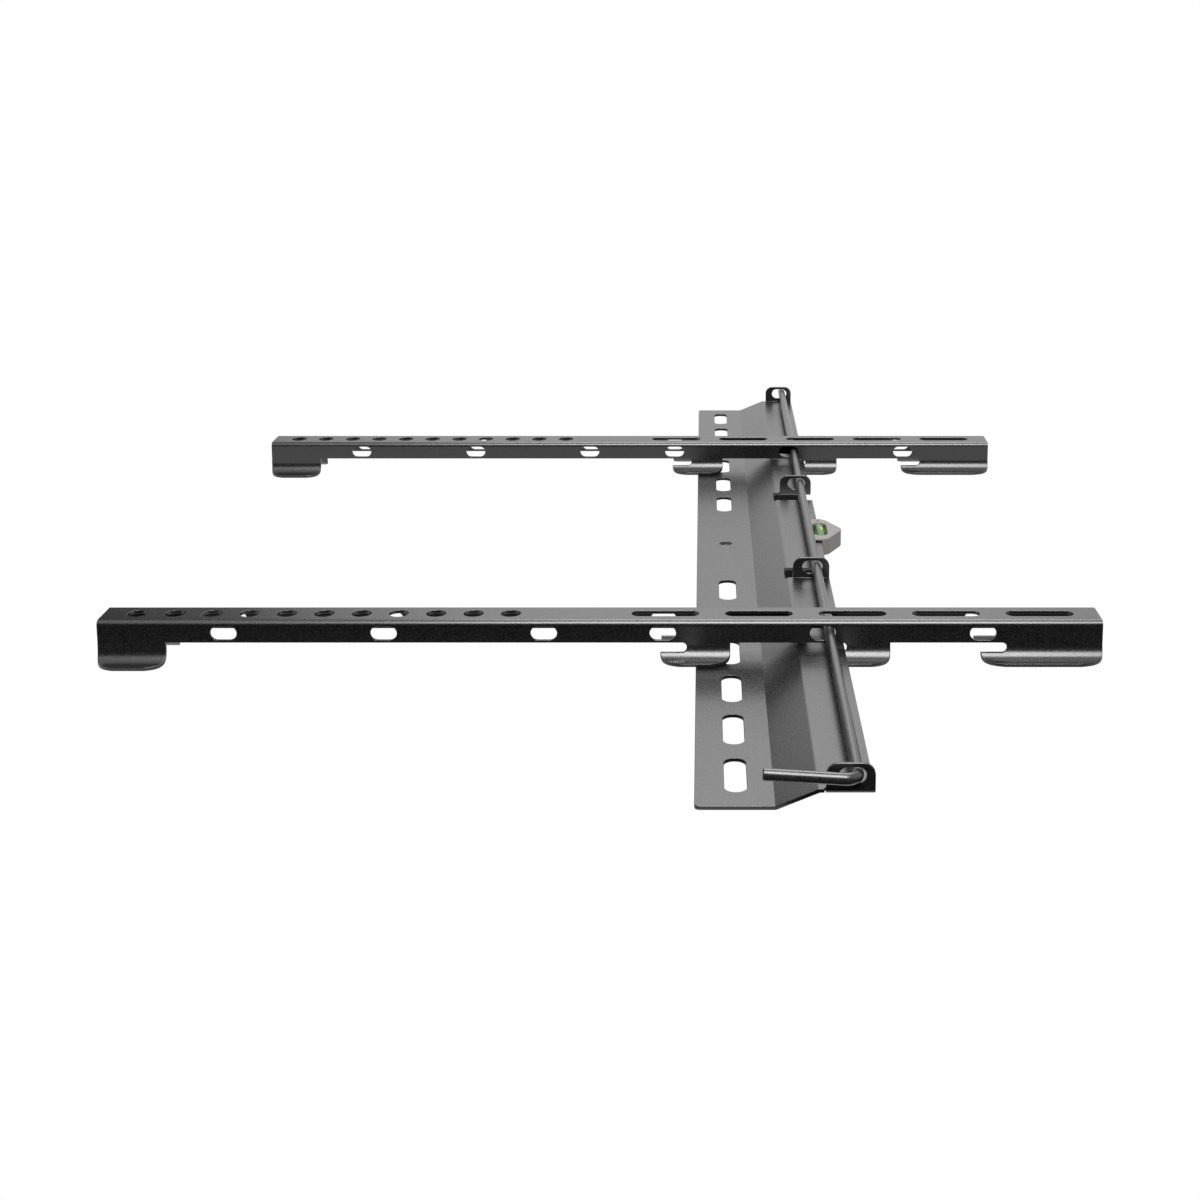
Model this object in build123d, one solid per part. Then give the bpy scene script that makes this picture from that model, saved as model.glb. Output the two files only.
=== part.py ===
"""Fixed wall bracket for a television: a folded wall plate, two hooked arms and a locking bar.

X runs along the wall plate, to the right seen from the front. Y points into the wall, whose face
is at Y = 0, so everything lies at negative Y. Z is up. The origin is on the wall's face, in the
middle of the row of wall slots. A depth is a distance in front of the wall's face.
"""
import os
from build123d import *

# Wall plate: one folded sheet
PLATE_LENGTH = 640.0
PLATE_SHEET = 1.5
LOW_STRIP = 29.0
SLOPE_WIDTH = 15.5
HIGH_STRIP = 19.5
STRIP_RISE = 6.5
SLOT_LINE = 15.0
FOLD_RADIUS = 2.0
PLATE_CORNER = 2.0

# Wall slots and the middle hole
SLOT_LENGTH = 30.0
SLOT_WIDTH = 8.3
SLOTS_A_SIDE = 6
SLOT_PITCH = 43.2
INNER_SLOT = 77.0
MIDDLE_HOLE = 6.6

# Tabs bent up from the high strip
TAB_WIDTH = 17.5
TAB_DEPTH = 18.0
TAB_CORNER = 4.5
TAB_BEND = 0.2
TAB_LEAD = 0.01
TAB_OVERHANG = 1.0
TAB_HOLE_LENGTH = 10.0
TAB_HOLE_HEIGHT = 6.4
TAB_HOLE_DEPTH = 13.3
TAB_HOLE_ABOVE_BAR = -1.7
INNER_TAB = 77.0
WINDOW_LENGTH = 15.0
WINDOW_OVERHANG = 3.8
RELIEF_WIDTH = 0.4
RELIEF_LENGTH = 2.5

# Locking bar
BAR_DIAMETER = 4.4
BAR_DEPTH = 13.9
BAR_BELOW_EDGE = 6.4
BAR_BEND = 5.0
BAR_END = 5.0
HANDLE_LENGTH = 33.6
HANDLE_TILT = 3.5
HANDLE_GAP = 0.6
BAR_CHAMFER = 0.3

# Arms: folded channels that carry the television
ARM_LENGTH = 432.0
ARM_WIDTH = 20.0
ARM_DEPTH = 20.0
ARM_SHEET = 1.5
ARM_BEND = 2.4
FLANGE_DEPTH = 9.8
RIGHT_ARM_PLACE = 166.1
LEFT_ARM_PLACE = 157.6

# Feet and hooks of the arms, with lips that curve outward near the wall
LIP_RADIUS = 6.4
LIP_ANGLE = 88.0
LIP_FLAT = 1.0
FOOT_LENGTH = 29.4
FOOT_CORNER = 12.0
HOOK_COUNT = 3
HOOK_PITCH = 68.8
HOOK_REACH = 11.4
HOOK_BODY = 18.7
TOP_HOOK_BODY = 41.1
HOOK_SLOT_CORNER = 2.0
HOOK_CORNER = 13.0
TOP_HOOK_CORNER = 15.5

# Holes of the arms
OVAL_LENGTH = 11.3
OVAL_HEIGHT = 6.2
OVAL_DEPTH = 14.4
OVAL_ABOVE_SLOT = -10.3
OVAL_GROUP_GAP = 51.1
OVALS_A_GROUP = 3
SCREW_HOLE = 8.5
SCREW_HOLES = 11
SCREW_HOLE_PITCH = 16.2
FIRST_SCREW_HOLE = 14.85
SCREW_SLOTS = 5
SCREW_SLOT_LENGTH = 29.2
SCREW_SLOT_WIDTH = 7.0
SCREW_SLOT_PITCH = 40.6
FIRST_SCREW_SLOT = 243.95

# Spirit level
LEVEL_WIDTH = 37.4
LEVEL_PEAK = 12.3
LEVEL_NOSE = 8.0
LEVEL_SHOULDER = 3.1
LEVEL_SHOULDER_ROUND = 4.5
LEVEL_FRONT = 9.4
LEVEL_BACK = 0.8
LEVEL_SEAT = 7.5
LEVEL_CLIP = 1.8
LEVEL_CLIP_WIDTH = 24.0
LEVEL_CLIP_REACH = 5.0
LEVEL_NOTCH_WIDTH = 26.0
LEVEL_NOTCH = 4.6
VIAL_DIAMETER = 7.0
VIAL_LENGTH = 21.0
VIAL_WALL = 0.7
VIAL_END = 1.6
VIAL_ABOVE_EDGE = 0.2
VIAL_SUNK = 0.1
VIAL_WINDOW_LENGTH = 22.4
VIAL_WINDOW_HEIGHT = 7.3
BUBBLE_LENGTH = 6.0
BUBBLE_DIAMETER = 2.6

# Clearances
LIP_MARGIN = 0.4
LIP_CLEAR = 0.2
HOOK_PLAY = 0.95
FLAT_PLAY = 0.3
STRIP_PLAY = 0.4
LEVEL_PLAY = 0.1
CUT_PAST = 1.0

# Places worked out from the sizes above
PLATE_WIDTH = LOW_STRIP + SLOPE_WIDTH + HIGH_STRIP
PLATE_LOW = -SLOT_LINE
PLATE_TOP = PLATE_LOW + PLATE_WIDTH
PLATE_END = PLATE_LENGTH / 2
STRIP_BACK = STRIP_RISE
STRIP_FRONT = STRIP_RISE + PLATE_SHEET
TAB_LOW = PLATE_TOP - TAB_WIDTH
BAR_PLACE = PLATE_TOP - BAR_BELOW_EDGE
HOOK_SLOT_END = PLATE_TOP + HOOK_PLAY
MIDDLE_HOOK = HOOK_COUNT // 2
ARM_TOP = HOOK_SLOT_END + HOOK_PITCH + TOP_HOOK_BODY
ARM_FOOT = ARM_TOP - ARM_LENGTH
FLANGE_EDGE = ARM_DEPTH - FLANGE_DEPTH
SLOT_BACK = STRIP_BACK - STRIP_PLAY
HOOK_BACK = PLATE_SHEET + FLAT_PLAY
LEVEL_BASE = PLATE_TOP + LEVEL_PLAY


def prism(plane, face, start, end):
    """Extrude a flat face, drawn in the plane's own axes, from one offset to another."""
    return extrude(plane.offset(start) * face, amount=end - start)


def slot_face(length, height):
    """A slot outline with round ends, centred on the origin and lying along its first axis."""
    return SlotOverall(length, height)


def bent_sheet(points, radius, sheet, side):
    """A folded sheet's section: one face as a line with round folds, and its thickness."""
    with BuildSketch() as section:
        with BuildLine():
            FilletPolyline(*points, radius=radius)
            offset(amount=sheet, side=side)
        make_face()
    return section.sketch


def plate_blank():
    """The long sheet: low strip on the wall, slope, and high strip that the arms hang on."""
    slope_start = PLATE_LOW + LOW_STRIP
    slope_end = slope_start + SLOPE_WIDTH
    back = [
        (0, PLATE_LOW),
        (0, slope_start),
        (-STRIP_RISE, slope_end),
        (-STRIP_RISE, PLATE_TOP),
    ]
    section = bent_sheet(back, FOLD_RADIUS, PLATE_SHEET, Side.LEFT)
    blank = prism(Plane.YZ, section, -PLATE_END, PLATE_END)
    corners = blank.edges().filter_by(Axis.Y).group_by(Axis.Z)[0]
    return fillet(corners, PLATE_CORNER)


def bent_tab(face_x, toward):
    """A tab with its bend: face_x is its convex face, and the strip leaves it toward +1 or -1."""
    outer_bend = TAB_BEND + PLATE_SHEET
    path = [
        (face_x + toward * (outer_bend + TAB_LEAD), -STRIP_BACK),
        (face_x, -STRIP_BACK),
        (face_x, -TAB_DEPTH),
    ]
    side = Side.RIGHT if toward < 0 else Side.LEFT
    section = bent_sheet(path, outer_bend, PLATE_SHEET, side)
    tab = prism(Plane.XY, section, TAB_LOW, PLATE_TOP)
    corners = tab.edges().filter_by(Axis.X).group_by(Axis.Y)[0]
    return fillet(corners, TAB_CORNER)


def box_between(x_pair, y_pair, z_pair):
    """A block given by its two limits along each axis."""
    corner = (min(x_pair), min(y_pair), min(z_pair))
    size = [abs(b - a) for a, b in (x_pair, y_pair, z_pair)]
    return Pos(*corner) * Box(*size, align=(Align.MIN, Align.MIN, Align.MIN))


def strip_cut(x_pair, z_low):
    """A cut through the high strip, open at the plate's top edge."""
    return box_between(x_pair, (-TAB_DEPTH, -STRIP_BACK / 2), (z_low, PLATE_TOP + CUT_PAST))


def make_wall_plate():
    """The wall plate with its slots, tabs, windows and the notch for the spirit level."""
    plate = plate_blank()
    outer_bend = TAB_BEND + PLATE_SHEET
    for sign in (1, -1):
        end = sign * (PLATE_END + TAB_OVERHANG)
        inner = sign * INNER_TAB
        relief_low = TAB_LOW - RELIEF_WIDTH
        plate -= strip_cut((end - sign * outer_bend, end + sign * CUT_PAST), TAB_LOW)
        plate -= box_between(
            (end - sign * RELIEF_LENGTH, end + sign * CUT_PAST),
            (-STRIP_FRONT - CUT_PAST, -STRIP_BACK + CUT_PAST),
            (relief_low, TAB_LOW),
        )
        window_end = inner - sign * WINDOW_LENGTH
        plate -= strip_cut((window_end, inner + sign * outer_bend), TAB_LOW)
        plate -= strip_cut((window_end, inner + sign * CUT_PAST), TAB_LOW - WINDOW_OVERHANG)
        plate += bent_tab(end, -sign)
        plate += bent_tab(inner, sign)
    tab_hole = Pos(-TAB_HOLE_DEPTH, BAR_PLACE + TAB_HOLE_ABOVE_BAR) * Rot(0, 0, 90) * slot_face(
        TAB_HOLE_LENGTH, TAB_HOLE_HEIGHT
    )
    plate -= prism(Plane.YZ, tab_hole, -PLATE_END - CUT_PAST, PLATE_END + CUT_PAST)
    for index in range(SLOTS_A_SIDE):
        for sign in (1, -1):
            place = sign * (INNER_SLOT + index * SLOT_PITCH)
            slot = Pos(place, 0) * slot_face(SLOT_LENGTH, SLOT_WIDTH)
            plate -= prism(Plane.XZ, slot, -CUT_PAST, PLATE_SHEET + CUT_PAST)
    middle_hole = Circle(MIDDLE_HOLE / 2)
    plate -= prism(Plane.XZ, middle_hole, -CUT_PAST, PLATE_SHEET + CUT_PAST)
    half_notch = LEVEL_NOTCH_WIDTH / 2
    plate -= strip_cut((-half_notch, half_notch), PLATE_TOP - LEVEL_NOTCH)
    return plate


def sin_of(angle):
    """Sine of an angle in degrees."""
    return Vector(1, 0).rotate(Axis.Z, angle).Y


def channel_section(back):
    """An arm's section: web, bends and two flanges whose lips curve outward, ending at back."""
    half = ARM_WIDTH / 2
    lip_height = (LIP_RADIUS + ARM_SHEET) * sin_of(LIP_ANGLE) + LIP_FLAT * sin_of(90 - LIP_ANGLE)
    with BuildSketch() as section:
        with BuildLine():
            flange = FilletPolyline(
                (0, -ARM_DEPTH),
                (half, -ARM_DEPTH),
                (half, -back - lip_height),
                radius=ARM_BEND,
            )
            lip = JernArc(flange @ 1, (0, 1), LIP_RADIUS, -LIP_ANGLE)
            Line(lip @ 1, lip @ 1 + LIP_FLAT * (lip % 1))
            offset(amount=ARM_SHEET, side=Side.LEFT)
        make_face()
        mirror(about=Plane.YZ)
    return section.sketch


def lip_outline(start, end, corner_length):
    """Front view of a foot or hook: a block with long rounds that cut only the lips.

    It is wider than the lips by a small margin, so that its sides cut nothing.
    """
    lip_reach = LIP_RADIUS * (1 - sin_of(90 - LIP_ANGLE)) + LIP_FLAT * sin_of(LIP_ANGLE)
    corner_width = lip_reach + LIP_MARGIN - LIP_CLEAR
    corner_place = ARM_WIDTH / 2 + LIP_CLEAR
    with BuildSketch() as outline:
        with BuildLine():
            low = EllipticalCenterArc(
                (corner_place, start + corner_length),
                corner_width,
                corner_length,
                start_angle=270,
                arc_size=90,
            )
            high = EllipticalCenterArc(
                (corner_place, end - corner_length),
                corner_width,
                corner_length,
                start_angle=0,
                arc_size=90,
            )
            Line(low @ 1, high @ 0)
            Polyline(high @ 1, (0, end), (0, start), low @ 0)
        make_face()
        mirror(about=Plane.YZ)
    return outline.sketch


def side_block(start, end, back):
    """Side view of a foot or hook: a block from inside the flange to just past the lips."""
    front = (ARM_DEPTH + FLANGE_EDGE) / 2
    rear = back - LIP_MARGIN
    return Pos(-(front + rear) / 2, (start + end) / 2) * Rectangle(front - rear, end - start)


def arm_blade(section, side, front):
    """A stretch of channel cut to a side view and, where one is given, to a front view."""
    box = side.bounding_box()
    blade = prism(Plane.XY, section, box.min.Y, box.max.Y)
    blade &= prism(Plane.YZ, side, -ARM_WIDTH, ARM_WIDTH)
    if front is not None:
        blade &= prism(Plane.XZ, front, -LIP_MARGIN, ARM_DEPTH + LIP_MARGIN)
    return blade


def make_arm(place):
    """One arm, hung on the plate's top edge with its middle hook, at a place along the plate."""
    hook_section = channel_section(HOOK_BACK)
    spine = Pos(-(ARM_DEPTH + FLANGE_EDGE) / 2, (ARM_FOOT + ARM_TOP) / 2) * Rectangle(
        FLANGE_DEPTH, ARM_LENGTH
    )
    arm = arm_blade(hook_section, spine, None)
    foot_end = ARM_FOOT + FOOT_LENGTH
    foot = side_block(ARM_FOOT, foot_end, 0)
    arm += arm_blade(channel_section(0), foot, lip_outline(ARM_FOOT, foot_end, FOOT_CORNER))
    slot_height = FLANGE_EDGE - SLOT_BACK
    for index in range(HOOK_COUNT):
        slot_end = HOOK_SLOT_END + (index - MIDDLE_HOOK) * HOOK_PITCH
        hook_start = slot_end - HOOK_REACH
        top_one = index == HOOK_COUNT - 1
        hook_end = ARM_TOP if top_one else slot_end + HOOK_BODY
        corner = TOP_HOOK_CORNER if top_one else HOOK_CORNER
        slot = Pos(-(SLOT_BACK + FLANGE_EDGE) / 2, hook_start) * RectangleRounded(
            slot_height, 2 * HOOK_REACH, HOOK_SLOT_CORNER
        )
        hook = side_block(hook_start, hook_end, HOOK_BACK) - slot
        arm += arm_blade(hook_section, hook, lip_outline(hook_start, hook_end, corner))
        oval = Pos(-OVAL_DEPTH, slot_end + OVAL_ABOVE_SLOT) * Rot(0, 0, 90) * slot_face(
            OVAL_LENGTH, OVAL_HEIGHT
        )
        group_step = HOOK_PITCH * (OVALS_A_GROUP - 1) + OVAL_GROUP_GAP
        arm -= prism(Plane.YZ, oval, -ARM_WIDTH, ARM_WIDTH)
        arm -= prism(Plane.YZ, Pos(0, -group_step) * oval, -ARM_WIDTH, ARM_WIDTH)
    for index in range(SCREW_HOLES):
        height = ARM_FOOT + FIRST_SCREW_HOLE + index * SCREW_HOLE_PITCH
        hole = Pos(0, height) * Circle(SCREW_HOLE / 2)
        arm -= prism(Plane.XZ, hole, ARM_DEPTH - 2 * ARM_SHEET, ARM_DEPTH + CUT_PAST)
    for index in range(SCREW_SLOTS):
        height = ARM_FOOT + FIRST_SCREW_SLOT + index * SCREW_SLOT_PITCH
        slot = Pos(0, height) * Rot(0, 0, 90) * slot_face(SCREW_SLOT_LENGTH, SCREW_SLOT_WIDTH)
        arm -= prism(Plane.XZ, slot, ARM_DEPTH - 2 * ARM_SHEET, ARM_DEPTH + CUT_PAST)
    return Pos(place, 0, 0) * arm


def make_locking_bar():
    """The round bar through all tabs and both arms, with its short handle at the right end."""
    axis_point = (-BAR_DEPTH, BAR_PLACE)
    corner_x = PLATE_END + HANDLE_GAP + BAR_BEND
    handle = Vector(0, 0, -HANDLE_LENGTH).rotate(Axis.X, -HANDLE_TILT)
    corner = Vector(corner_x, *axis_point)
    start = Vector(-PLATE_END - BAR_END, *axis_point)
    path = FilletPolyline(start, corner, corner + handle, radius=BAR_BEND)
    profile = Plane(origin=start, z_dir=(1, 0, 0)) * Circle(BAR_DIAMETER / 2)
    bar = sweep(profile, path=path)
    ends = bar.faces().filter_by(GeomType.PLANE).edges()
    return chamfer(ends, BAR_CHAMFER)


def level_outline():
    """Front view of the level's holder: a bulge with a round nose above the plate's top edge."""
    half = LEVEL_WIDTH / 2
    shoulder = LEVEL_BASE + LEVEL_SHOULDER
    with BuildSketch() as outline:
        with BuildLine():
            side = FilletPolyline(
                (-half, LEVEL_BASE),
                (-half, shoulder),
                (0, PLATE_TOP + LEVEL_PEAK),
                (half, shoulder),
                (half, LEVEL_BASE),
                radius=(LEVEL_SHOULDER_ROUND, LEVEL_NOSE, LEVEL_SHOULDER_ROUND),
            )
            Line(side @ 1, side @ 0)
        make_face()
    return outline.sketch


def vial_place():
    """Where the vial's axis crosses the plate's middle plane."""
    depth = LEVEL_FRONT - VIAL_DIAMETER / 2 - VIAL_SUNK
    return Vector(0, -depth, PLATE_TOP + VIAL_ABOVE_EDGE)


def rod_along_plate(centre, diameter, length):
    """A round rod lying along the plate."""
    return Pos(centre) * Rot(0, 90, 0) * Cylinder(diameter / 2, length)


def make_level_housing():
    """The level's holder: it grips the sheet at the plate's top edge and cradles the vial."""
    housing = prism(Plane.XZ, level_outline(), LEVEL_BACK, LEVEL_FRONT)
    half_seat = LEVEL_WIDTH / 2
    seat_low = PLATE_TOP - LEVEL_SEAT
    housing += box_between(
        (-half_seat, half_seat),
        (-LEVEL_FRONT, -STRIP_FRONT - LEVEL_PLAY),
        (seat_low, LEVEL_BASE),
    )
    half_plug = LEVEL_NOTCH_WIDTH / 2 - LEVEL_PLAY
    clip_front = STRIP_BACK - LEVEL_PLAY
    housing += box_between(
        (-half_plug, half_plug),
        (-STRIP_FRONT - LEVEL_PLAY, -clip_front),
        (PLATE_TOP - LEVEL_NOTCH + LEVEL_PLAY, LEVEL_BASE),
    )
    half_clip = LEVEL_CLIP_WIDTH / 2
    housing += box_between(
        (-half_clip, half_clip),
        (-clip_front, -clip_front + LEVEL_CLIP),
        (PLATE_TOP - LEVEL_CLIP_REACH, LEVEL_BASE),
    )
    centre = vial_place()
    housing -= rod_along_plate(centre, VIAL_DIAMETER, VIAL_LENGTH)
    window = Pos(0, centre.Z) * slot_face(VIAL_WINDOW_LENGTH, VIAL_WINDOW_HEIGHT)
    housing -= prism(Plane.XZ, window, -centre.Y, LEVEL_FRONT + CUT_PAST)
    return housing


def bubble_solid():
    """The air bubble, a short round-ended rod at the top of the vial."""
    inner = VIAL_DIAMETER / 2 - VIAL_WALL
    centre = vial_place() + Vector(0, 0, inner - BUBBLE_DIAMETER / 2)
    rod = rod_along_plate(centre, BUBBLE_DIAMETER, BUBBLE_LENGTH - BUBBLE_DIAMETER)
    for sign in (1, -1):
        end = centre + Vector(sign * (BUBBLE_LENGTH - BUBBLE_DIAMETER) / 2, 0, 0)
        rod += Pos(end) * Sphere(BUBBLE_DIAMETER / 2)
    return rod


def make_level_pieces():
    """The vial, the liquid that fills it and the bubble in the liquid."""
    centre = vial_place()
    bore = rod_along_plate(
        centre, VIAL_DIAMETER - 2 * VIAL_WALL, VIAL_LENGTH - 2 * VIAL_END
    )
    vial = rod_along_plate(centre, VIAL_DIAMETER, VIAL_LENGTH) - bore
    bubble = bubble_solid()
    return vial, bore - bubble, bubble


def main():
    """Build every piece and write each to its own file."""
    vial, liquid, bubble = make_level_pieces()
    pieces = {
        "wall_plate": make_wall_plate(),
        "right_arm": make_arm(RIGHT_ARM_PLACE),
        "left_arm": make_arm(-LEFT_ARM_PLACE),
        "locking_bar": make_locking_bar(),
        "level_housing": make_level_housing(),
        "level_vial": vial,
        "level_liquid": liquid,
        "level_bubble": bubble,
    }
    os.makedirs("parts", exist_ok=True)
    for name, piece in pieces.items():
        export_step(piece, f"parts/{name}.step")


main()
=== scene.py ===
"""Fixed wall bracket for a television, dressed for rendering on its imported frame.

Everything is in metres in the row's own frame: X runs along the wall plate, Y points into the
wall, whose face is at Y = 0, and Z is up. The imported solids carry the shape. This file gives the
folded sheets, the locking bar and the spirit level their soft edges and their finishes, and adds
the camera and a plain pale studio.
"""
import logging
import math
from dataclasses import dataclass
from enum import Enum

import bpy
from mathutils import Matrix, Vector


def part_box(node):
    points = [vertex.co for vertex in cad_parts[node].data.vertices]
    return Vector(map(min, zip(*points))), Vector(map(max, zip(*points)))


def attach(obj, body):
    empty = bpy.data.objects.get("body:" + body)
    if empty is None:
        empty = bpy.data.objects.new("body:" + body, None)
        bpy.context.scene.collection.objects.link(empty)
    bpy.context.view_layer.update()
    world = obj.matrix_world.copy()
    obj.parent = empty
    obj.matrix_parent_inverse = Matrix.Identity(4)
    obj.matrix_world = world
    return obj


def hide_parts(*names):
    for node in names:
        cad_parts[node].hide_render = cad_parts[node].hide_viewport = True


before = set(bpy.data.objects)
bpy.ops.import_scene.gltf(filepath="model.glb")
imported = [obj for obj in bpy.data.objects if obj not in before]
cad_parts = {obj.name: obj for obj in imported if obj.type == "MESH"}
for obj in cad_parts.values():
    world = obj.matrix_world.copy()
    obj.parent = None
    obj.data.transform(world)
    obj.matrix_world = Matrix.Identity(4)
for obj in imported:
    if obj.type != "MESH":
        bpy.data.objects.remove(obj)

LOG = logging.getLogger("bracket")
MM = 0.001
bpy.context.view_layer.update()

Triple = tuple[float, float, float]
Span = tuple[float, float]

UNIT: Span = (0.0, 1.0)
WHITE: Triple = (1.0, 1.0, 1.0)
LEVEL_WITH_WALL: Triple = (math.radians(90), 0.0, 0.0)
ACROSS_PLATE: Triple = (0.0, math.radians(90), 0.0)


class Body(Enum):
    """The bodies that a piece can ride on."""

    PLATE = "plate"
    RIGHT_ARM = "arm_right"
    LEFT_ARM = "arm_left"
    BAR = "bar"


class Slot(Enum):
    """The record's material slots."""

    PLATE = "plate_paint"
    ARM = "arm_paint"
    BAR = "bar_paint"
    HOUSING = "level_plastic"
    VIAL = "clear_plastic"
    LIQUID = "green_liquid"
    BUBBLE = "air_bubble"


def rgba(colour: Triple) -> tuple[float, float, float, float]:
    """A colour with full alpha."""
    return (*colour, 1.0)


class NodeSheet:
    """A node tree with short calls for adding and joining its nodes."""

    def __init__(self, tree: bpy.types.NodeTree) -> None:
        """Keep the tree that the nodes go into."""
        self.tree = tree

    def add(self, kind: str, **settings: object) -> bpy.types.Node:
        """Add one node.

        Args:
            kind: Blender's name of the node type.
            settings: Properties of the node.

        Returns:
            The new node.
        """
        node = self.tree.nodes.new(kind)
        for name, value in settings.items():
            setattr(node, name, value)
        return node

    def join(self, source: object, target: bpy.types.NodeSocket) -> None:
        """Link an output to an input, or set the input to a number.

        Args:
            source: A socket or a number.
            target: The input.
        """
        if isinstance(source, bpy.types.NodeSocket):
            self.tree.links.new(source, target)
        else:
            target.default_value = source

    def place(self) -> bpy.types.NodeSocket:
        """The coordinates of the object itself."""
        return self.add("ShaderNodeTexCoord").outputs["Object"]

    def calculate(self, operation: str, first: object, second: object) -> bpy.types.NodeSocket:
        """Add a math node.

        Args:
            operation: The math node's operation.
            first: A socket or a number.
            second: A socket or a number.

        Returns:
            The node's value.
        """
        node = self.add("ShaderNodeMath", operation=operation)
        self.join(first, node.inputs[0])
        self.join(second, node.inputs[1])
        return node.outputs[0]

    def noise(
        self, place: bpy.types.NodeSocket, scale: object, detail: float = 2.0
    ) -> bpy.types.NodeSocket:
        """Add a noise texture.

        Args:
            place: The socket of its coordinates.
            scale: A socket or a number.
            detail: How far it is refined.

        Returns:
            The noise's value.
        """
        node = self.add("ShaderNodeTexNoise")
        self.join(place, node.inputs["Vector"])
        self.join(scale, node.inputs["Scale"])
        self.join(detail, node.inputs["Detail"])
        return node.outputs["Fac"]

    def remap(
        self, value: bpy.types.NodeSocket, source: Span, target: Span
    ) -> bpy.types.NodeSocket:
        """Add a map range node.

        Args:
            value: The socket of the value.
            source: The lower and upper value that come in.
            target: The values that go out for them.

        Returns:
            The mapped value.
        """
        node = self.add("ShaderNodeMapRange")
        names = ("From Min", "From Max", "To Min", "To Max")
        for name, limit in zip(names, (*source, *target)):
            node.inputs[name].default_value = limit
        self.join(value, node.inputs["Value"])
        return node.outputs["Result"]

    def blend(
        self, first: Triple, second: Triple, share: bpy.types.NodeSocket
    ) -> bpy.types.NodeSocket:
        """Add a mix of two colours.

        Args:
            first: The colour where the share is zero.
            second: The colour where the share is one.
            share: The socket of the share.

        Returns:
            The mixed colour.
        """
        node = self.add("ShaderNodeMix", data_type="RGBA")
        node.inputs["A"].default_value = rgba(first)
        node.inputs["B"].default_value = rgba(second)
        self.join(share, node.inputs["Factor"])
        return node.outputs["Result"]

    def bump(
        self, height: bpy.types.NodeSocket, strength: float, depth: float
    ) -> bpy.types.NodeSocket:
        """Add a bump node.

        Args:
            height: The socket of the height.
            strength: The share of the bump that shows.
            depth: How deep the full height is, in metres.

        Returns:
            The bumped normal.
        """
        node = self.add("ShaderNodeBump")
        self.join(strength, node.inputs["Strength"])
        self.join(depth, node.inputs["Distance"])
        self.join(height, node.inputs["Height"])
        return node.outputs["Normal"]

    def mix_shaders(
        self, share: bpy.types.NodeSocket, first: bpy.types.Node, second: bpy.types.Node
    ) -> bpy.types.Node:
        """Add a mix of two shaders.

        Args:
            share: The socket of the second shader's share.
            first: The first shader's node.
            second: The second shader's node.

        Returns:
            The mixing node.
        """
        node = self.add("ShaderNodeMixShader")
        self.join(share, node.inputs[0])
        self.join(first.outputs[0], node.inputs[1])
        self.join(second.outputs[0], node.inputs[2])
        return node


def new_finish(name: str) -> tuple[bpy.types.Material, NodeSheet, bpy.types.Node]:
    """Start a material.

    Args:
        name: The material's name.

    Returns:
        The material, the sheet of its nodes and its Principled shader.
    """
    material = bpy.data.materials.new(name)
    material.use_nodes = True
    sheet = NodeSheet(material.node_tree)
    return material, sheet, material.node_tree.nodes["Principled BSDF"]


@dataclass(frozen=True)
class CoatTexture:
    """Shader group shared by the coated metals: the skin of a baked powder coat."""

    name: str = "coat_skin"
    peel_detail: float = 2.0
    grain_detail: float = 1.0
    grain_share: float = 0.5
    cloud_scale: float = 14.0
    cloud_detail: float = 3.0
    cloud_share: float = 0.25
    fleck_scale: float = 1100.0
    fleck_detail: float = 1.0
    fleck_span: Span = (0.36, 0.64)
    fleck_share: float = 0.75

    def group(self) -> bpy.types.NodeTree:
        """Build the group once.

        Returns:
            A group with a place and two scales in, and a height, a tone and a gloss out.
        """
        if self.name in bpy.data.node_groups:
            return bpy.data.node_groups[self.name]
        tree = bpy.data.node_groups.new(self.name, "ShaderNodeTree")
        for socket_name, way, kind in (
            ("Place", "INPUT", "NodeSocketVector"),
            ("Peel Scale", "INPUT", "NodeSocketFloat"),
            ("Grain Scale", "INPUT", "NodeSocketFloat"),
            ("Height", "OUTPUT", "NodeSocketFloat"),
            ("Tone", "OUTPUT", "NodeSocketFloat"),
            ("Gloss", "OUTPUT", "NodeSocketFloat"),
        ):
            tree.interface.new_socket(socket_name, in_out=way, socket_type=kind)
        sheet = NodeSheet(tree)
        inlet = sheet.add("NodeGroupInput").outputs
        outlet = sheet.add("NodeGroupOutput").inputs
        peel = sheet.noise(inlet["Place"], inlet["Peel Scale"], self.peel_detail)
        grain = sheet.noise(inlet["Place"], inlet["Grain Scale"], self.grain_detail)
        cloud = sheet.noise(inlet["Place"], self.cloud_scale, self.cloud_detail)
        fleck = sheet.noise(inlet["Place"], self.fleck_scale, self.fleck_detail)
        flecks = sheet.remap(fleck, self.fleck_span, UNIT)
        fine = sheet.calculate("MULTIPLY", grain, self.grain_share)
        sheet.join(sheet.calculate("ADD", peel, fine), outlet["Height"])
        patchy = sheet.calculate("MULTIPLY", cloud, self.cloud_share)
        speckled = sheet.calculate("MULTIPLY", flecks, self.fleck_share)
        sheet.join(sheet.calculate("ADD", patchy, speckled), outlet["Tone"])
        sheet.join(flecks, outlet["Gloss"])
        return tree


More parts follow.
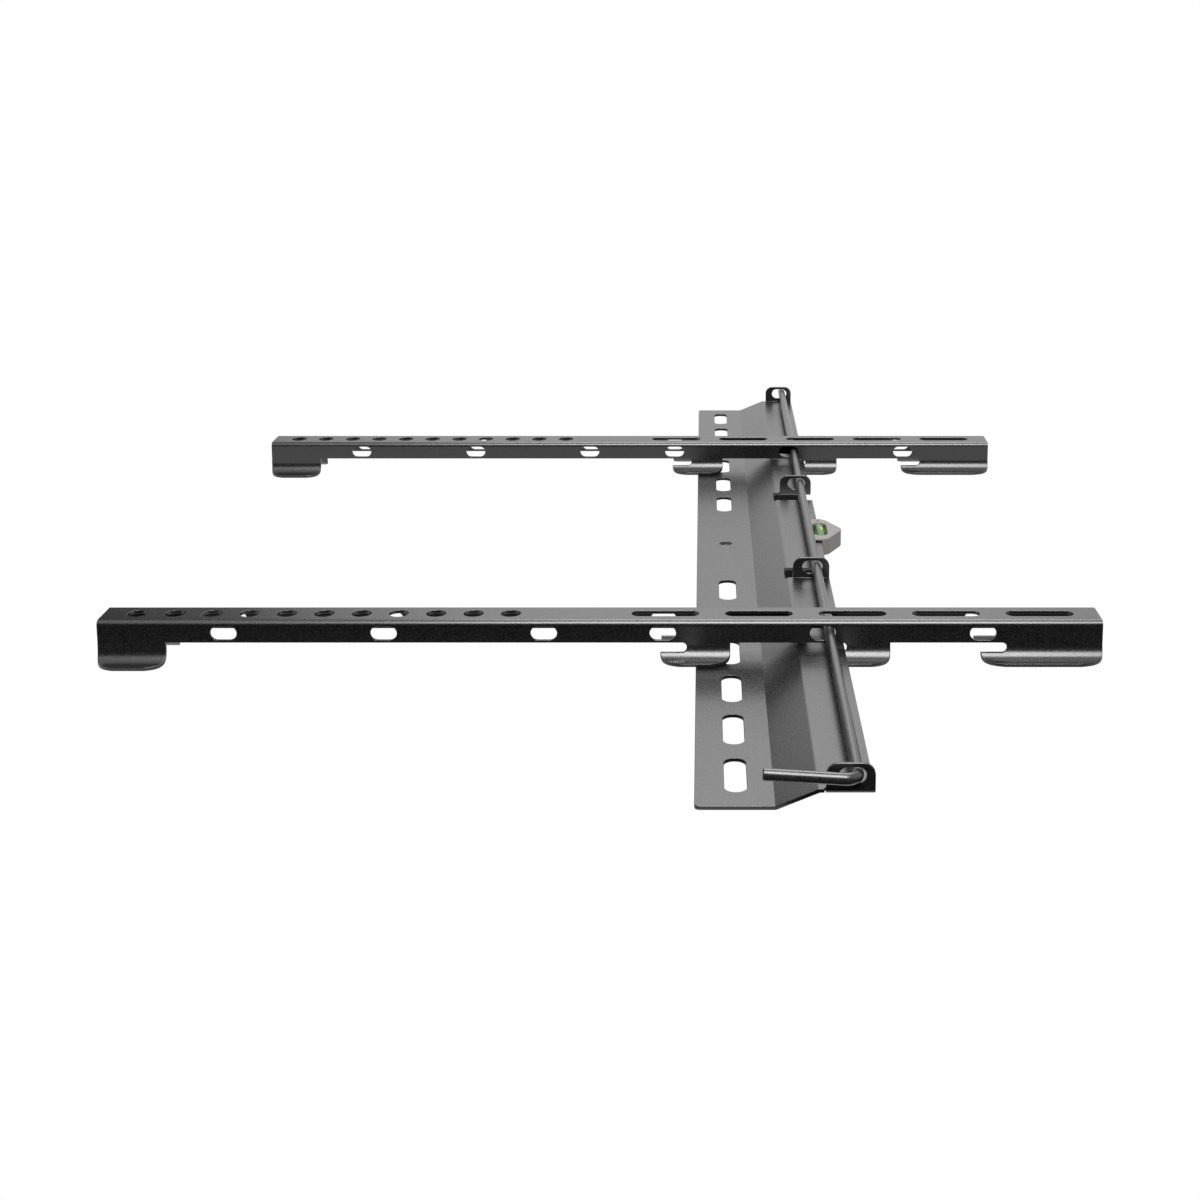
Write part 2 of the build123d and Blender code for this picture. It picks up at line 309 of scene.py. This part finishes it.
@dataclass(frozen=True)
class CoatedMetal:
    """A dark baked coat on steel: satin, with a fine grain."""

    name: str
    colour: Triple
    pale: Triple
    roughness: float
    roughness_range: float = 0.025
    shine: float = 0.75
    bump: float = 0.5
    bump_depth: float = 0.00002
    peel_scale: float = 900.0
    grain_scale: float = 3200.0

    def material(self) -> bpy.types.Material:
        """Build the material.

        Returns:
            A material on Object coordinates.
        """
        material, sheet, shader = new_finish(self.name)
        shader.inputs["Specular IOR Level"].default_value = self.shine
        skin = sheet.add("ShaderNodeGroup", node_tree=CoatTexture().group())
        sheet.join(sheet.place(), skin.inputs["Place"])
        sheet.join(self.peel_scale, skin.inputs["Peel Scale"])
        sheet.join(self.grain_scale, skin.inputs["Grain Scale"])
        tone = sheet.blend(self.colour, self.pale, skin.outputs["Tone"])
        sheet.join(tone, shader.inputs["Base Color"])
        span = (self.roughness - self.roughness_range, self.roughness + self.roughness_range)
        gloss = sheet.remap(skin.outputs["Gloss"], UNIT, span)
        sheet.join(gloss, shader.inputs["Roughness"])
        normal = sheet.bump(skin.outputs["Height"], self.bump, self.bump_depth)
        sheet.join(normal, shader.inputs["Normal"])
        return material


@dataclass(frozen=True)
class MouldedPlastic:
    """A matt moulded plastic with a fine spark-eroded grain."""

    name: str
    colour: Triple
    shade: Triple
    roughness: float
    tone_scale: float = 90.0
    grain_scale: float = 2600.0
    bump: float = 0.15
    bump_depth: float = 0.00003

    def material(self) -> bpy.types.Material:
        """Build the material.

        Returns:
            A material on Object coordinates.
        """
        material, sheet, shader = new_finish(self.name)
        shader.inputs["Roughness"].default_value = self.roughness
        place = sheet.place()
        tone = sheet.blend(self.colour, self.shade, sheet.noise(place, self.tone_scale))
        sheet.join(tone, shader.inputs["Base Color"])
        grain = sheet.noise(place, self.grain_scale)
        sheet.join(sheet.bump(grain, self.bump, self.bump_depth), shader.inputs["Normal"])
        return material


@dataclass(frozen=True)
class ClearStuff:
    """Clear plastic, liquid or air: light goes through it, tinted."""

    name: str
    colour: Triple
    roughness: float
    ior: float
    drift_scale: float = 120.0
    drift: float = 0.94

    def material(self) -> bpy.types.Material:
        """Build the material.

        Returns:
            A material whose tint drifts a little over the piece.
        """
        material, sheet, shader = new_finish(self.name)
        shader.inputs["Roughness"].default_value = self.roughness
        shader.inputs["IOR"].default_value = self.ior
        shader.inputs["Transmission Weight"].default_value = 1.0
        deeper = tuple(self.drift * part for part in self.colour)
        share = sheet.noise(sheet.place(), self.drift_scale)
        sheet.join(sheet.blend(self.colour, deeper, share), shader.inputs["Base Color"])
        return material


def deselect_all() -> None:
    """Leave edit mode and deselect every object."""
    if bpy.context.object is not None and bpy.context.object.mode != "OBJECT":
        bpy.ops.object.mode_set(mode="OBJECT")
    bpy.ops.object.select_all(action="DESELECT")


def take_up(piece: bpy.types.Object) -> None:
    """Make a piece the only selected one, and the active one.

    Args:
        piece: The piece to work on.
    """
    deselect_all()
    piece.select_set(True)
    bpy.context.view_layer.objects.active = piece


@dataclass
class SoftEdgedCopy:
    """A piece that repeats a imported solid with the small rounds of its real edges."""

    node: str
    piece: str
    body: Body
    slot: Slot
    edge: float
    steps: int = 2
    merge_distance: float = 0.000002
    flat_angle: float = 0.5
    edge_angle: float = 35.0
    smooth_angle: float = 60.0

    def build(self, material: bpy.types.Material) -> bpy.types.Object:
        """Copy the node, merge it, round its edges and let it stand for the node.

        Args:
            material: The finish of the piece.

        Returns:
            The finished piece.
        """
        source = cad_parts[self.node]
        copy = bpy.data.objects.new(self.piece, source.data.copy())
        copy.data.name = self.piece
        bpy.context.scene.collection.objects.link(copy)
        take_up(copy)
        bpy.ops.object.mode_set(mode="EDIT")
        bpy.ops.mesh.select_all(action="SELECT")
        bpy.ops.mesh.remove_doubles(threshold=self.merge_distance)
        bpy.ops.mesh.dissolve_limited(angle_limit=math.radians(self.flat_angle))
        bpy.ops.object.mode_set(mode="OBJECT")
        rounds = copy.modifiers.new("edges", "BEVEL")
        rounds.width = self.edge
        rounds.segments = self.steps
        rounds.limit_method = "ANGLE"
        rounds.angle_limit = math.radians(self.edge_angle)
        rounds.use_clamp_overlap = False
        bpy.ops.object.modifier_apply(modifier=rounds.name)
        bpy.ops.object.shade_smooth_by_angle(angle=math.radians(self.smooth_angle))
        flats = copy.modifiers.new("flats", "WEIGHTED_NORMAL")
        flats.keep_sharp = True
        bpy.ops.object.modifier_apply(modifier=flats.name)
        copy.data.materials.clear()
        copy.data.materials.append(material)
        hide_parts(self.node)
        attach(copy, self.body.value)
        LOG.info("%s: %d faces", self.piece, len(copy.data.polygons))
        return copy


@dataclass(frozen=True)
class FoldedMetal:
    """The wall plate, the two arms and the locking bar."""

    sheet_edge: float = 0.22 * MM
    bar_edge: float = 0.1 * MM
    coat: CoatedMetal = CoatedMetal(
        "powder_coat", (0.0045, 0.0045, 0.0045), (0.0125, 0.0125, 0.0128), roughness=0.29
    )
    bar_coat: CoatedMetal = CoatedMetal(
        "bar_coat", (0.01, 0.01, 0.0105), (0.022, 0.022, 0.023), roughness=0.3, bump=0.15
    )

    def build(self) -> list[bpy.types.Object]:
        """Dress the metal pieces.

        Returns:
            The finished pieces.
        """
        coat = self.coat.material()
        bar_coat = self.bar_coat.material()
        sheets = (
            ("wall_plate", "plate_sheet", Body.PLATE, Slot.PLATE),
            ("right_arm", "right_arm_sheet", Body.RIGHT_ARM, Slot.ARM),
            ("left_arm", "left_arm_sheet", Body.LEFT_ARM, Slot.ARM),
        )
        pieces = [SoftEdgedCopy(*sheet, self.sheet_edge).build(coat) for sheet in sheets]
        bar = SoftEdgedCopy("locking_bar", "bar_rod", Body.BAR, Slot.BAR, self.bar_edge)
        return [*pieces, bar.build(bar_coat)]


@dataclass
class RoundRod:
    """A round rod along X with rounded ends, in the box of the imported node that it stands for."""

    node: str
    piece: str
    slot: Slot
    clearance: float
    end_round: float
    sides: int = 64
    round_steps: int = 6
    end_angle: float = 60.0

    def build(self, material: bpy.types.Material) -> bpy.types.Object:
        """Build the rod, a little smaller than its node all over.

        Args:
            material: The finish of the piece.

        Returns:
            The finished piece.
        """
        low, high = (Vector(corner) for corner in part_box(self.node))
        size = high - low
        deselect_all()
        bpy.ops.mesh.primitive_cylinder_add(
            vertices=self.sides,
            radius=size.z / 2 - self.clearance,
            depth=size.x - 2 * self.clearance,
            location=(low + high) / 2,
            rotation=ACROSS_PLATE,
        )
        rod = bpy.context.object
        rod.name = self.piece
        rod.data.name = self.piece
        bpy.ops.object.transform_apply(location=True, rotation=True, scale=True)
        ends = rod.modifiers.new("ends", "BEVEL")
        ends.width = self.end_round
        ends.segments = self.round_steps
        ends.limit_method = "ANGLE"
        ends.angle_limit = math.radians(self.end_angle)
        bpy.ops.object.modifier_apply(modifier=ends.name)
        bpy.ops.object.shade_smooth()
        rod.data.materials.append(material)
        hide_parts(self.node)
        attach(rod, Body.PLATE.value)
        LOG.info("%s: %d faces", self.piece, len(rod.data.polygons))
        return rod


@dataclass(frozen=True)
class SpiritLevel:
    """The small level at the middle of the plate's top edge.

    The vial is one clear rod, and the liquid and the bubble lie inside it, a hair apart, so that
    no two surfaces share a place.
    """

    edge: float = 0.3 * MM
    vial_clearance: float = 0.05 * MM
    vial_end: float = 1.0 * MM
    liquid_clearance: float = 0.03 * MM
    liquid_end: float = 1.2 * MM
    bubble_clearance: float = 0.1 * MM
    bubble_end: float = 1.1 * MM
    holder_finish: MouldedPlastic = MouldedPlastic(
        "level_plastic", (0.2, 0.195, 0.18), (0.175, 0.17, 0.156), roughness=0.5
    )
    vial_finish: ClearStuff = ClearStuff(
        "vial_clear", (0.93, 0.98, 0.9), roughness=0.02, ior=1.49
    )
    liquid_finish: ClearStuff = ClearStuff(
        "vial_liquid", (0.33, 0.62, 0.08), roughness=0.0, ior=1.02
    )
    bubble_finish: ClearStuff = ClearStuff(
        "vial_bubble", (0.97, 1.0, 0.9), roughness=0.0, ior=1.33
    )

    def build(self) -> list[bpy.types.Object]:
        """Dress the holder, and build the vial, the liquid and the bubble.

        Returns:
            The finished pieces.
        """
        holder = SoftEdgedCopy(
            "level_housing", "level_holder", Body.PLATE, Slot.HOUSING, self.edge
        )
        vial = RoundRod(
            "level_vial", "level_tube", Slot.VIAL, self.vial_clearance, self.vial_end
        )
        liquid = RoundRod(
            "level_liquid", "level_filling", Slot.LIQUID, self.liquid_clearance, self.liquid_end
        )
        bubble = RoundRod(
            "level_bubble", "level_air", Slot.BUBBLE, self.bubble_clearance, self.bubble_end
        )
        jobs = (
            (holder, self.holder_finish),
            (vial, self.vial_finish),
            (liquid, self.liquid_finish),
            (bubble, self.bubble_finish),
        )
        return [job.build(finish.material()) for job, finish in jobs]


@dataclass(frozen=True)
class PhotoCamera:
    """The camera, solved from the straight edges and the even pitches in the picture."""

    place: Triple = (0.9264, -0.2804, -0.0116)
    pitch: float = math.radians(10.32)
    lens: float = 54.92
    sensor: float = 36.0
    shift_x: float = -0.08636
    shift_y: float = -0.2192
    nearest: float = 0.01
    farthest: float = 100.0

    def build(self) -> bpy.types.Object:
        """Add the camera: it looks along -X and down to the wall, with Z to its right.

        Returns:
            The camera object.
        """
        data = bpy.data.cameras.new("camera")
        data.lens = self.lens
        data.sensor_width = self.sensor
        data.shift_x = self.shift_x
        data.shift_y = self.shift_y
        data.clip_start = self.nearest
        data.clip_end = self.farthest
        camera = bpy.data.objects.new("camera", data)
        right = Vector((0.0, 0.0, 1.0))
        back = Vector((math.cos(self.pitch), -math.sin(self.pitch), 0.0))
        up = back.cross(right)
        turn = Matrix((right, up, back)).transposed()
        camera.matrix_world = Matrix.Translation(self.place) @ turn.to_4x4()
        bpy.context.scene.collection.objects.link(camera)
        bpy.context.scene.camera = camera
        return camera


@dataclass(frozen=True)
class Softbox:
    """One soft area lamp, aimed at a point."""

    name: str
    place: Triple
    aim: Triple
    width: float
    height: float
    power: float

    def build(self) -> bpy.types.Object:
        """Add the lamp.

        Returns:
            The lamp object.
        """
        data = bpy.data.lights.new(self.name, "AREA")
        data.shape = "RECTANGLE"
        data.size = self.width
        data.size_y = self.height
        data.energy = self.power
        lamp = bpy.data.objects.new(self.name, data)
        lamp.location = self.place
        ray = Vector(self.aim) - Vector(self.place)
        lamp.rotation_euler = ray.to_track_quat("-Z", "Y").to_euler()
        lamp.visible_camera = False
        bpy.context.scene.collection.objects.link(lamp)
        return lamp


@dataclass(frozen=True)
class Card:
    """A flat card of the studio. Its switches name the kinds of rays that miss it."""

    name: str
    place: Triple
    width: float
    height: float
    turn: Triple = LEVEL_WITH_WALL
    switches: tuple[str, ...] = ()

    def build(self, material: bpy.types.Material) -> bpy.types.Object:
        """Add the card.

        Args:
            material: The finish of the card.

        Returns:
            The card object.
        """
        deselect_all()
        bpy.ops.mesh.primitive_plane_add(size=1.0, location=self.place, rotation=self.turn)
        card = bpy.context.object
        card.name = self.name
        card.scale = (self.width, self.height, 1.0)
        bpy.ops.object.transform_apply(location=True, rotation=True, scale=True)
        card.data.materials.append(material)
        for switch in self.switches:
            setattr(card, switch, False)
        return card


@dataclass(frozen=True)
class Studio:
    """A pale floor under the bracket as it lies in the picture, the lamps and the world.

    The shades are small patches of floor that show dark through the plate's windows. They are
    painted shade: grey to the camera where the rest of the floor is white to it, and lit by the
    lamps, so that the plate's real shadow on them shows as well. The flags are matt black cards
    that only reflections see, as photographers stand beside dark metal: at the left and the front,
    and on the floor around the plate. The cards under the wall slots are painted shade too: in
    reflections they stand for the shaded floor under the plate. The floor flags leave the plate's
    own back free.
    """

    floor_gap: float = 0.001
    floor_size: float = 14.0
    floor_tone: float = 0.3
    shade_gap: float = 0.0003
    shade_tone: float = 0.3
    flag_gap: float = 0.0005
    flag_tone: float = 0.01
    world_fill: float = 0.006
    slots_a_side: int = 6
    inner_slot: float = 77.0 * MM
    slot_pitch: float = 43.2 * MM
    slot_length: float = 30.0 * MM
    slot_width: float = 8.3 * MM
    # Patches of painted shade under the plate: name, X span and Z span, in millimetres.
    shades: tuple[tuple[str, Span, Span], ...] = (
        ("right_shade", (20.0, 62.0), (23.0, 47.0)),
        ("left_shade", (-122.0, -78.0), (23.0, 47.0)),
        ("middle_shade", (-14.0, 5.0), (-5.0, 5.0)),
    )
    upright_flags: tuple[tuple[str, Triple, float, float], ...] = (
        ("left_flag_low", (-2.1, -0.22, -3.1), 4.1, 0.56),
        ("left_flag_middle", (-2.1, -0.7, -2.9), 4.3, 0.4),
        ("left_flag_high", (-2.1, -1.9, -2.75), 4.6, 2.0),
        ("front_flag", (2.3, -1.0, 0.0), 6.0, 2.2),
    )
    floor_flags: tuple[tuple[str, Span, float, float], ...] = (
        ("table_flag_low", (1.25, -1.52), 2.12, 3.0),
        ("table_flag_high", (1.25, 1.553), 2.12, 3.0),
        ("table_flag_end", (1.316, 0.0165), 1.98, 0.073),
    )
    lamps: tuple[Softbox, ...] = (
        Softbox("top_softbox", (1.07, -1.56, 0.12), (0.17, 0.0, 0.05), 1.15, 0.95, 46.0),
        Softbox("rear_softbox", (-1.0, -1.56, 0.12), (0.17, 0.0, 0.05), 0.85, 0.95, 17.0),
        Softbox("back_softbox", (-2.0, -1.35, -0.05), (-1.0, -1.35, -0.05), 1.0, 1.1, 3.0),
    )

    def shows_background(self, sheet: NodeSheet) -> bpy.types.NodeSocket:
        """Tell the rays that show the plain white background.

        Args:
            sheet: The sheet of the floor's or the world's nodes.

        Returns:
            One for camera, glossy and transmission rays, and zero for the others.
        """
        rays = sheet.add("ShaderNodeLightPath").outputs
        straight = sheet.calculate("MAXIMUM", rays["Is Camera Ray"], rays["Is Transmission Ray"])
        return sheet.calculate("MAXIMUM", straight, rays["Is Glossy Ray"])

    def one_sided(self, name: str, tone: float, white_to_camera: bool) -> bpy.types.Material:
        """Build a matt grey that is clear from behind.

        Args:
            name: The material's name.
            tone: Its grey.
            white_to_camera: Whether it shows the plain white background.

        Returns:
            The material.
        """
        material, sheet, _ = new_finish(name)
        sheet.tree.nodes.clear()
        front = sheet.add("ShaderNodeBsdfDiffuse")
        front.inputs["Color"].default_value = rgba((tone,) * 3)
        if white_to_camera:
            white = sheet.add("ShaderNodeEmission")
            white.inputs["Color"].default_value = rgba(WHITE)
            front = sheet.mix_shaders(self.shows_background(sheet), front, white)
        side = sheet.add("ShaderNodeNewGeometry").outputs["Backfacing"]
        both = sheet.mix_shaders(side, front, sheet.add("ShaderNodeBsdfTransparent"))
        sheet.join(both.outputs[0], sheet.add("ShaderNodeOutputMaterial").inputs["Surface"])
        return material

    def build_floor(self) -> None:
        """Add the floor, level with the wall and facing the bracket."""
        material = self.one_sided("studio_floor", self.floor_tone, white_to_camera=True)
        place = (0.0, self.floor_gap, 0.0)
        Card("studio_floor", place, self.floor_size, self.floor_size).build(material)

    def build_shades(self) -> None:
        """Add the patches of floor that show dark through the plate's windows: painted shade, grey
        to the camera where the rest of the floor is white.
        """
        # Painted shade: grey to the camera, unseen in reflections, and lit by the lamps, so the
        # plate's real shadow on them shows too.
        material = self.one_sided("studio_shade", self.shade_tone, white_to_camera=False)
        switches = ("visible_glossy", "visible_diffuse")
        for name, (low_x, high_x), (low_z, high_z) in self.shades:
            place = ((low_x + high_x) / 2 * MM, self.shade_gap, (low_z + high_z) / 2 * MM)
            width, height = (high_x - low_x) * MM, (high_z - low_z) * MM
            Card(name, place, width, height, switches=switches).build(material)

    def build_world(self) -> None:
        """Make the world white to the camera and a dim even fill to everything else."""
        world = bpy.data.worlds.new("studio")
        world.use_nodes = True
        bpy.context.scene.world = world
        sheet = NodeSheet(world.node_tree)
        background = world.node_tree.nodes["Background"]
        background.inputs["Color"].default_value = rgba(WHITE)
        level = sheet.remap(self.shows_background(sheet), UNIT, (self.world_fill, 1.0))
        sheet.join(level, background.inputs["Strength"])

    def flag_material(self) -> bpy.types.Material:
        """Build the flags' matt black, without any shine.

        Returns:
            The material.
        """
        material, _, shader = new_finish("studio_flag")
        shader.inputs["Base Color"].default_value = rgba((self.flag_tone,) * 3)
        shader.inputs["Roughness"].default_value = 1.0
        shader.inputs["Specular IOR Level"].default_value = 0.0
        return material

    def build_flags(self) -> None:
        """Add the black cards."""
        material = self.flag_material()
        switches = (
            "visible_camera", "visible_diffuse", "visible_transmission", "visible_shadow"
        )
        for name, place, width, height in self.upright_flags:
            Card(name, place, width, height, ACROSS_PLATE, switches).build(material)
        for name, (x, z), width, height in self.floor_flags:
            place = (x, self.flag_gap, z)
            Card(name, place, width, height, LEVEL_WITH_WALL, switches).build(material)
        # Painted shade: black cards under the wall slots stand for the shaded floor under the
        # plate, seen only in reflections.
        for side, side_name in ((-1, "left"), (1, "right")):
            for number in range(self.slots_a_side):
                name = f"slot_shade_flag_{side_name}_{number + 1}"
                x = side * (self.inner_slot + number * self.slot_pitch)
                place = (x, self.flag_gap, 0.0)
                Card(
                    name, place, self.slot_length, self.slot_width, LEVEL_WITH_WALL, switches
                ).build(material)

    def build(self) -> None:
        """Add the floor, the shades, the world, the lamps and the flags."""
        self.build_floor()
        self.build_shades()
        self.build_world()
        for lamp in self.lamps:
            lamp.build()
        self.build_flags()


def dress() -> None:
    """Build and report every piece."""
    pieces = FoldedMetal().build() + SpiritLevel().build()
    LOG.info("pieces: %d", len(pieces))
    PhotoCamera().build()
    Studio().build()
    bpy.context.scene.view_settings.view_transform = "Standard"
    bpy.context.view_layer.update()


def main() -> None:
    """Dress the bracket."""
    logging.basicConfig(level=logging.INFO, format="%(name)s: %(message)s")
    dress()


if __name__ == "__main__":
    main()
